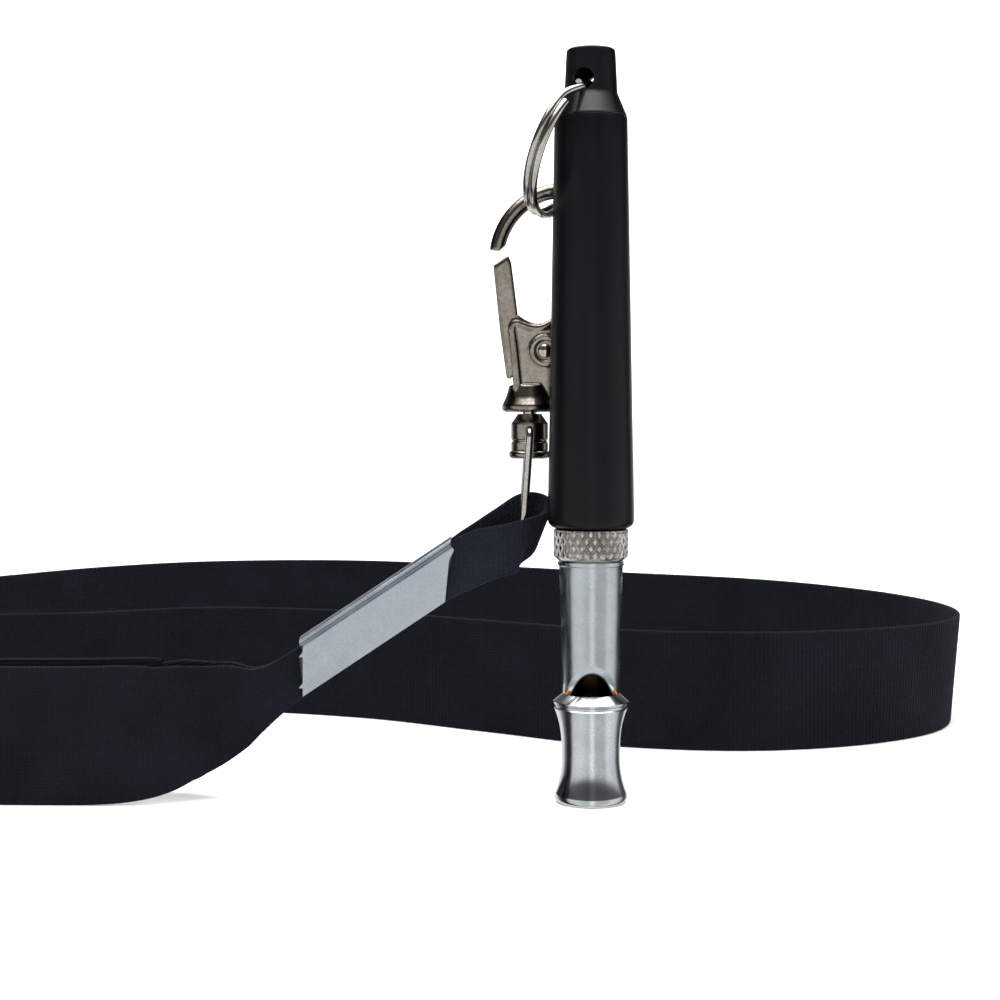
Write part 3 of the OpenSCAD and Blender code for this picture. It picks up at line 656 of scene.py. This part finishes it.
knurl_z = np.arange(NUT_LOW_Z + 0.5, NUT_HIGH_Z - 0.15, 0.035)
nut_profile = np.vstack([
    [[3.21, NUT_LOW_Z], [NUT_R - 0.52, NUT_LOW_Z], [NUT_R - 0.42, NUT_LOW_Z + 0.06],
     [NUT_R - 0.06, NUT_LOW_Z + 0.42]],
    np.stack([NUT_R + 0 * knurl_z, knurl_z], -1),
    [[NUT_R - 0.16, NUT_HIGH_Z - 0.05], [NUT_R - 0.25, NUT_HIGH_Z - 0.02], [3.21, NUT_HIGH_Z - 0.02]]])
mesh = tidy(grid_mesh("nut_knurled", lathe(nut_profile, KNURL_COUNT * 24, knurled), wrap_rows=True), 24)
nut = new_piece("nut_knurled", mesh, "nut", ["lock_nut"])

# %% [markdown]
# ## Handle
# The sleeve is a moulded black tube with a rounded foot, and the cap above it is a glossier moulding:
# a short cone and a neck with the ring's hole through it. Both are profiles; the hole is cut. It is
# drawn 0.15 mm tighter than the solid's 1.35, which has that much more room for the ring to swing.
# The solid also has a blind hole below for the rod's end, which isn't drawn.

# %% Sleeve and cap
SLEEVE_LOW_R, SLEEVE_HIGH_R, SLEEVE_TOP_Z, CAP_TOP_Z = 4.72, 3.98, 74.5, 82
sleeve_profile = np.vstack([
    [[3.7, NUT_HIGH_Z]], arc_points(SLEEVE_LOW_R - 1, NUT_HIGH_Z + 1, 1, -90, 0, 14),
    np.linspace([SLEEVE_LOW_R - 0.01, NUT_HIGH_Z + 1.6], [SLEEVE_HIGH_R + 0.01, SLEEVE_TOP_Z - 0.2], 16),
    arc_points(SLEEVE_HIGH_R - 0.12, SLEEVE_TOP_Z - 0.14, 0.12, 5, 90, 6),
    [[3.32, SLEEVE_TOP_Z - 0.02], [3.32, 38.5], [3.7, 38.5]]])
mesh = tidy(grid_mesh("sleeve_moulded", lathe(sleeve_profile, 192), wrap_rows=True))
sleeve = new_piece("sleeve_moulded", mesh, "handle", ["handle_sleeve"])

cap_profile = np.vstack([
    [[0, 69.5], [3.28, 69.5], [3.28, SLEEVE_TOP_Z + 0.01], [SLEEVE_HIGH_R - 0.12, SLEEVE_TOP_Z + 0.01]],
    arc_points(SLEEVE_HIGH_R - 0.14, SLEEVE_TOP_Z + 0.14, 0.12, -70, 35, 6),
    np.linspace([SLEEVE_HIGH_R - 0.08, SLEEVE_TOP_Z + 0.3], [2.96, 77.05], 8), [[2.9, 77.25]],
    np.linspace([2.88, 77.6], [2.68, CAP_TOP_Z - 0.32], 6),
    arc_points(2.67 - 0.27, CAP_TOP_Z - 0.27, 0.27, 6, 90, 10),
    [[0, CAP_TOP_Z]]])
HOLE_R = 1.2
hole_way = turned(np.array([[0, -6.0, 0], [0, 6.0, 0]]), -HOLE_TURN_DEG, 0) + [0, 0, HANGER_Z]
mesh = carve(tidy(grid_mesh("cap_moulded", lathe(cap_profile, 160))),
             [grid_mesh("hole", tube(hole_way, HOLE_R, (0, 0, 1), 64))])
cap = new_piece("cap_moulded", tidy(mesh), "handle", ["hanger_cap"])

# %% [markdown]
# ## Finishes
# Every finish starts from what it really is. Colours are sRGB hex values turned linear by one function,
# and one small helper adds a node with its settings and links. Patterns read Object coordinates in
# metres, or the ribbon's own flat coordinate, so they stay on the piece when it moves.

# %% Colour and node helpers
def linear(hex_colour):
    """sRGB hex to linear light: c / 12.92 below 0.04045, else ((c + 0.055) / 1.055)^2.4."""
    c = np.array([int(hex_colour[i:i + 2], 16) for i in (1, 3, 5)]) / 255
    return (*np.where(c <= 0.04045, c / 12.92, ((c + 0.055) / 1.055) ** 2.4).tolist(), 1)


def add_node(tree, kind, settings=None, **inputs):
    """Adds one node. settings are its properties; inputs are values, or sockets to link from, by input name,
    with _ for a space, or by number as in i0."""
    node = tree.nodes.new(kind)
    for key, value in (settings or {}).items():
        setattr(node, key, value)
    for key, value in inputs.items():
        is_number = key[0] == "i" and key[1:].isdigit()
        socket = node.inputs[int(key[1:])] if is_number else node.inputs[key.replace("_", " ")]
        if isinstance(value, bpy.types.NodeSocket):
            tree.links.new(value, socket)
        else:
            socket.default_value = value
    return node


def new_material(name, **constants):
    """A material with one Principled shader, whose constant values are set on its own sockets."""
    material = bpy.data.materials.new(name)
    material.use_nodes = True
    tree = material.node_tree
    shader = tree.nodes["Principled BSDF"]
    for key, value in constants.items():
        shader.inputs[key.replace("_", " ")].default_value = value
    return material, tree, shader


def coordinates(tree, scale=(1, 1, 1)):
    """Object coordinates of a piece, stretched by a scale per axis."""
    place = add_node(tree, "ShaderNodeTexCoord")
    return add_node(tree, "ShaderNodeMapping", Vector=place.outputs["Object"], Scale=scale).outputs[0]


def ramp(tree, factor, stops):
    """A colour ramp from (position, hex or grey) stops."""
    node = add_node(tree, "ShaderNodeValToRGB", Fac=factor)
    elements = node.color_ramp.elements
    while len(elements) < len(stops):
        elements.new(0.5)
    for element, (position, colour) in zip(elements, stops):
        element.position = position
        element.color = linear(colour) if isinstance(colour, str) else (colour, colour, colour, 1)
    return node.outputs["Color"]


def noise(tree, vector, size_mm, detail):
    """Noise with features of about size_mm."""
    scale = 1 / (size_mm * MM)
    return add_node(tree, "ShaderNodeTexNoise", Vector=vector, Scale=scale, Detail=detail).outputs[0]


def calc(tree, operation, *values):
    """One Math node, such as MULTIPLY, on the given values or sockets."""
    inputs = {f"i{number}": value for number, value in enumerate(values)}
    return add_node(tree, "ShaderNodeMath", {"operation": operation}, **inputs).outputs[0]


def remap(tree, value, from_min, from_max, to_min, to_max):
    """A value taken linearly from one range to another and kept inside it."""
    return add_node(tree, "ShaderNodeMapRange", Value=value, From_Min=from_min, From_Max=from_max,
                    To_Min=to_min, To_Max=to_max).outputs[0]


def axis_distance(tree):
    """Distance from the whistle's upright axis: the length of (x, y, 0)."""
    level = add_node(tree, "ShaderNodeVectorMath", {"operation": "MULTIPLY"}, i0=coordinates(tree),
                     i1=(1, 1, 0))
    length = add_node(tree, "ShaderNodeVectorMath", {"operation": "LENGTH"}, i0=level.outputs[0])
    return length.outputs["Value"]


def paint(piece, material):
    """Gives a piece one material on all its faces."""
    piece.data.materials.clear()
    piece.data.materials.append(material)


# %% [markdown]
# ### Plated metals
# Nickel plate is a warm pale grey mirror. Over turned and lapped brass it is satin: fine turning lines go
# round the axis, 0.05 mm apart, and the plate's grain mottles the gloss. The plate's grain is drawn even,
# without the lines; only the bare brass inside carries them, drawn near 0.2 mm so that they show.
# Bright wire is smoother, and a tumbled casting is softer, with faint ripples.

# %% Plated metal
def plated(name, colour_low, colour_high, gloss_low, gloss_high, grain_mm, stretch, ripple, bump):
    """Nickel plate: mottled colour and roughness from stretched noise, and a slight bump from both."""
    material, tree, shader = new_material(name, Metallic=1.0)
    grain = noise(tree, coordinates(tree, stretch), grain_mm, 3.0)
    cloud = noise(tree, coordinates(tree), 2.6, 2.0)
    shade = calc(tree, "MULTIPLY", grain, cloud)
    tree.links.new(ramp(tree, shade, [(0.08, colour_low), (0.4, colour_high)]), shader.inputs["Base Color"])
    tree.links.new(remap(tree, cloud, 0.3, 0.7, gloss_low, gloss_high), shader.inputs["Roughness"])
    waves = noise(tree, coordinates(tree), ripple, 1.0)
    rough = add_node(tree, "ShaderNodeBump", Strength=0.5, Distance=bump * MM, Height=grain)
    soft = add_node(tree, "ShaderNodeBump", Strength=0.5, Distance=bump * 3 * MM, Height=waves,
                    Normal=rough.outputs[0])
    tree.links.new(soft.outputs[0], shader.inputs["Normal"])
    return material, tree, shader


ROUND_LINES = (0.25, 0.25, 5)
EVEN = (1, 1, 1)
tube_nickel, tube_tree, tube_shader = plated(
    "satin_nickel_on_turned_brass", "#b3b8ba", "#ccd4d9", 0.18, 0.28, 0.12, EVEN, 0.9, 0.003)
mouth_nickel, _, _ = plated("polished_nickel", "#bfc3c5", "#dae0e5", 0.12, 0.2, 0.15, EVEN, 1.6, 0.002)
knurl_nickel, _, _ = plated("rolled_nickel", "#a8a49c", "#dedddb", 0.14, 0.26, 0.2, EVEN, 0.8, 0.004)
hook_nickel, _, _ = plated("tumbled_nickel_casting", "#80796e", "#a39d94", 0.13, 0.2, 0.4, EVEN, 2.2, 0.016)
wire_nickel, _, _ = plated("bright_nickel_wire", "#b5b0a8", "#d8d6d2", 0.07, 0.15, 0.3, EVEN, 1.5, 0.004)
crimp_nickel, _, _ = plated("satin_nickel_sheet", "#a9b1ba", "#c6ced6", 0.26, 0.36, 0.14, EVEN, 1.9, 0.006)
spring_steel, _, _ = plated("drawn_spring_wire", "#77756f", "#a9a7a2", 0.2, 0.3, 0.2, EVEN, 1, 0.003)

# %% [markdown]
# The plate is worn through at both lower corners of the sound window, where brass shows copper-brown.
# The bore is unplated brass, painted nearly black as shade inside the tube.

# %% Wear at the window's corners, and painted shade in the bore
WEAR_AT = ((-2.72, -1.45, 12.0), (2.72, -1.45, 12.0))
WEAR_R_MM = 0.62
place = coordinates(tube_tree)
ragged = noise(tube_tree, place, 0.5, 3.0)
near = [add_node(tube_tree, "ShaderNodeVectorMath", {"operation": "DISTANCE"}, i0=place,
                 i1=[c * MM for c in spot]).outputs["Value"] for spot in WEAR_AT]
nearest = calc(tube_tree, "MINIMUM", *near)
frayed = calc(tube_tree, "MULTIPLY_ADD", ragged, 0.5 * MM, nearest)
worn = remap(tube_tree, frayed, WEAR_R_MM * MM, (WEAR_R_MM + 0.35) * MM, 1.0, 0.0)
# Painted shade: within 2.56 mm of the axis, inside the bore, the colour goes nearly black.
inside = remap(tube_tree, axis_distance(tube_tree), 2.56 * MM, 2.7 * MM, 1.0, 0.0)
plate_colour = tube_shader.inputs["Base Color"].links[0].from_socket
worn_colour = add_node(tube_tree, "ShaderNodeMix", {"data_type": "RGBA"}, i0=worn, i6=plate_colour,
                       i7=linear("#9c6a45"))
# Mixes in the painted shade colour #2a2015 over the bore.
bore_painted_shade = add_node(tube_tree, "ShaderNodeMix", {"data_type": "RGBA"}, i0=inside,
                       i6=worn_colour.outputs[2], i7=linear("#2a2015"))
tube_tree.links.new(bore_painted_shade.outputs[2], tube_shader.inputs["Base Color"])

# %% Brass and rubber inside
brass, _, _ = plated("free_cutting_brass", "#8f6a38", "#c79a57", 0.2, 0.34, 0.25, ROUND_LINES, 1.2, 0.004)
seal_rubber, tree, shader = new_material("nitrile_rubber", Roughness=0.62)
speck = noise(tree, coordinates(tree), 0.2, 2.0)
tree.links.new(ramp(tree, speck, [(0.3, "#141414"), (0.7, "#232323")]), shader.inputs["Base Color"])

# %% [markdown]
# ### Black mouldings
# The sleeve is ABS with a fine spark-eroded grain, about 0.1 mm, which makes it matte. The cap came from
# a polished mould, so it is glossy with a slight orange peel; its drilled cross hole is left dull.

# %% Mouldings
def moulded(name, low, high, gloss_low, gloss_high, grain_mm, bump, shine):
    """ABS: near-black colour mottled a little, roughness that varies, and a grain or orange-peel bump."""
    material, tree, shader = new_material(name, IOR=1.54)
    shader.inputs["Specular IOR Level"].default_value = shine
    grain = noise(tree, coordinates(tree), grain_mm, 2.0)
    smear = noise(tree, coordinates(tree, (1, 1, 0.3)), 3, 2.0)
    tree.links.new(ramp(tree, smear, [(0.3, low), (0.7, high)]), shader.inputs["Base Color"])
    tree.links.new(remap(tree, smear, 0.3, 0.7, gloss_low, gloss_high), shader.inputs["Roughness"])
    relief = add_node(tree, "ShaderNodeBump", Strength=0.5, Distance=bump * MM, Height=grain)
    tree.links.new(relief.outputs[0], shader.inputs["Normal"])
    return material


matte_black = moulded("spark_grained_black_abs", "#040507", "#08090c", 0.3, 0.38, 0.16, 0.005, 0.2)
gloss_black = moulded("polished_black_abs", "#08080a", "#0f0f12", 0.16, 0.24, 0.6, 0.006, 0.5)
tree = gloss_black.node_tree
shine = remap(tree, axis_distance(tree), 2.3 * MM, 2.55 * MM, 0.0, 0.5)
tree.links.new(shine, tree.nodes["Principled BSDF"].inputs["Specular IOR Level"])

# %% [markdown]
# ### Woven ribbon
# The ribbon is black-navy polyester with a grosgrain face: ribs cross it every 0.55 mm, and finer warp
# lines run along it every 0.4 mm. Both read the flat coordinate, so they follow each bend and fold.
# Loose fibres on the doubled end catch the light as sheen.

# %% Ribbon cloth
def woven(name, low, high, rib_mm, warp_mm, fuzz, sheen):
    """Cloth: bump is ribs across plus warp lines along plus fibre noise; colour is darker between ribs."""
    material, tree, shader = new_material(name, Roughness=0.82, Sheen_Weight=sheen, Sheen_Roughness=0.45,
                                          Sheen_Tint=linear("#8d97ab"))
    shader.inputs["Specular IOR Level"].default_value = 0.12
    flat = add_node(tree, "ShaderNodeAttribute", {"attribute_name": "flat"}).outputs["Vector"]
    split = add_node(tree, "ShaderNodeSeparateXYZ", i0=flat)
    fibre = noise(tree, flat, 0.35, 4.0)
    patch = noise(tree, flat, 9, 3.0)

    def wave(axis, spacing):
        turns = calc(tree, "MULTIPLY_ADD", split.outputs[axis], 2 * math.pi / (spacing * MM), fibre)
        return calc(tree, "SINE", turns)

    ribs, warp = wave(0, rib_mm), wave(1, warp_mm)
    cloth = calc(tree, "MULTIPLY_ADD", warp, 0.6, ribs)
    relief = calc(tree, "MULTIPLY_ADD", fibre, fuzz, cloth)
    bump = add_node(tree, "ShaderNodeBump", Strength=0.7, Distance=0.05 * MM, Height=relief)
    tree.links.new(bump.outputs[0], shader.inputs["Normal"])
    tone = calc(tree, "MULTIPLY_ADD", relief, 0.05, patch)
    tree.links.new(ramp(tree, tone, [(0.25, low), (0.8, high)]), shader.inputs["Base Color"])
    return material


ribbon_cloth = woven("woven_navy_black_polyester", "#080a10", "#0e1219", 0.55, 0.4, 2.2, 0.05)
loop_cloth = woven("brushed_navy_black_polyester", "#07090d", "#151922", 0.6, 0.5, 4.0, 0.1)

# %% Give every piece its finish
FINISHES = {
    neck_ribbon: ribbon_cloth, end_loop: loop_cloth, crimp: crimp_nickel, bail: wire_nickel,
    barrel: hook_nickel, stem: wire_nickel, hook: hook_nickel, gate: hook_nickel, pin: wire_nickel,
    spring: spring_steel, ring: wire_nickel, tube_piece: tube_nickel, mouthpiece: mouth_nickel,
    nut: knurl_nickel, sleeve: matte_black, cap: gloss_black}
for piece, finish in FINISHES.items():
    paint(piece, finish)
INSIDE = {"thread_bush": brass, "piston": brass, "windway_plug": brass, "tuning_rod": tube_nickel,
          "piston_seal": seal_rubber}
for name, finish in INSIDE.items():
    paint(NODES[name], finish)
print("finishes on", len(FINISHES), "pieces and", len(INSIDE), "inside nodes")

# %% [markdown]
# ## Studio
# A pale floor, a white surround and soft boxes. Polished metal shows what stands round it, so the
# surround has dark gaps between the lights, as black cards give in a real studio. It is drawn once,
# by direction in the room. The floor and the soft boxes are left out of reflections, so that the metal
# shows the surround alone. The white wall is a backdrop: it shows behind the object but isn't reflected,
# and gives no light or shade.

# %% Surround
SURROUND = [  # degrees round from the front, to the right positive, and light there
    (-180, 1.0), (-140, 1.0), (-124, 0.25), (-108, 0.02), (-88, 0.03), (-76, 0.8), (-44, 0.9), (-12, 0.66),
    (-2, 1.1), (6, 1.1), (14, 0.62), (50, 0.62), (64, 0.95), (100, 0.75), (118, 0.08), (136, 0.08),
    (148, 1.0), (180, 1.0)]
BY_HEIGHT = [(0, 1.0), (0.545, 1.0), (0.6, 0.1), (0.8, 0.14), (0.88, 1.0), (1, 1.0)]  # share of the way up
world = bpy.data.worlds.new("studio")
bpy.context.scene.world = world
world.use_nodes = True
tree = world.node_tree
direction = add_node(tree, "ShaderNodeTexCoord").outputs["Generated"]
parts = add_node(tree, "ShaderNodeSeparateXYZ", i0=direction)
round_angle = calc(tree, "ARCTAN2", parts.outputs[0], calc(tree, "MULTIPLY", parts.outputs[1], -1.0))
share = remap(tree, round_angle, -math.pi, math.pi, 0.0, 1.0)
glow = ramp(tree, share, [((deg + 180) / 360, value) for deg, value in SURROUND])
above = remap(tree, parts.outputs[2], 0.76, 0.84, 0.0, 1.0)
height = remap(tree, parts.outputs[2], -1.0, 1.0, 0.0, 1.0)
card = ramp(tree, height, BY_HEIGHT)
shaded = add_node(tree, "ShaderNodeMix", {"data_type": "RGBA", "blend_type": "MULTIPLY"}, i0=1.0, i6=glow,
                  i7=card)
tone = add_node(tree, "ShaderNodeMix", {"data_type": "RGBA"}, i0=above, i6=shaded.outputs[2],
                i7=(4.0, 4.0, 4.0, 1))
tree.links.new(tone.outputs[2], tree.nodes["Background"].inputs["Color"])
tree.nodes["Background"].inputs["Strength"].default_value = 1.0
print("surround with", len(SURROUND), "tones")


# %% Floor and soft boxes
def floor_disc(radius_mm, around=96):
    """A flat disc just under the object."""
    a = np.linspace(0, 2 * math.pi, around, endpoint=False)
    ring = np.stack([radius_mm * np.cos(a), radius_mm * np.sin(a), np.full(around, -0.02)], -1)
    mesh = bpy.data.meshes.new("floor")
    mesh.from_pydata((ring * MM).tolist(), [], [list(range(around))])
    return mesh


floor = bpy.data.objects.new("floor", floor_disc(2500))
bpy.context.scene.collection.objects.link(floor)
floor_paint, tree, shader = new_material("pale_floor", Roughness=0.7)
shader.inputs["Base Color"].default_value = linear("#f2f2f2")
paint(floor, floor_paint)
floor.visible_glossy = False


def paper_wall(radius_mm, high_mm, around=96):
    """A round wall at the floor's edge: two rings joined by upright faces."""
    a = np.linspace(0, 2 * math.pi, around, endpoint=False)
    ring = np.stack([radius_mm * np.cos(a), radius_mm * np.sin(a)], -1)
    points = np.vstack([np.column_stack([ring, np.full(around, h)]) for h in (-1.0, high_mm)])
    n = np.arange(around)
    faces = np.stack([n, n + around, (n + 1) % around + around, (n + 1) % around], -1)
    mesh = bpy.data.meshes.new("wall")
    mesh.from_pydata((points * MM).tolist(), [], faces.tolist())
    return mesh


wall = bpy.data.objects.new("wall", paper_wall(2500, 4000))
bpy.context.scene.collection.objects.link(wall)
wall_paint, tree, shader = new_material("lit_white_paper", Roughness=0.9)
shader.inputs["Base Color"].default_value = linear("#f2f2f2")
shader.inputs["Emission Color"].default_value = linear("#ffffff")
shader.inputs["Emission Strength"].default_value = 1.0
paint(wall, wall_paint)
wall.visible_glossy = wall.visible_diffuse = wall.visible_shadow = False


def soft_box(name, at, aim, size, watts):
    """A rectangular area light at a point, turned to face another, sizes in mm."""
    data = bpy.data.lights.new(name, "AREA")
    data.shape = "RECTANGLE"
    data.size, data.size_y = size[0] * MM, size[1] * MM
    data.energy = watts
    lamp = bpy.data.objects.new(name, data)
    lamp.visible_glossy = False
    away = np.subtract(at, aim) * MM
    lamp.location = [c * MM for c in at]
    lamp.rotation_euler = Vector(away.tolist()).to_track_quat("Z", "Y").to_euler()
    bpy.context.scene.collection.objects.link(lamp)


soft_box("overhead", (-40, 60, 520), (0, 20, 0), (500, 400), 2.0)
soft_box("right_side", (380, -240, 220), (0, 0, 45), (120, 320), 1.2)
soft_box("left_front", (-300, -330, 260), (-20, 0, 40), (220, 260), 1.0)
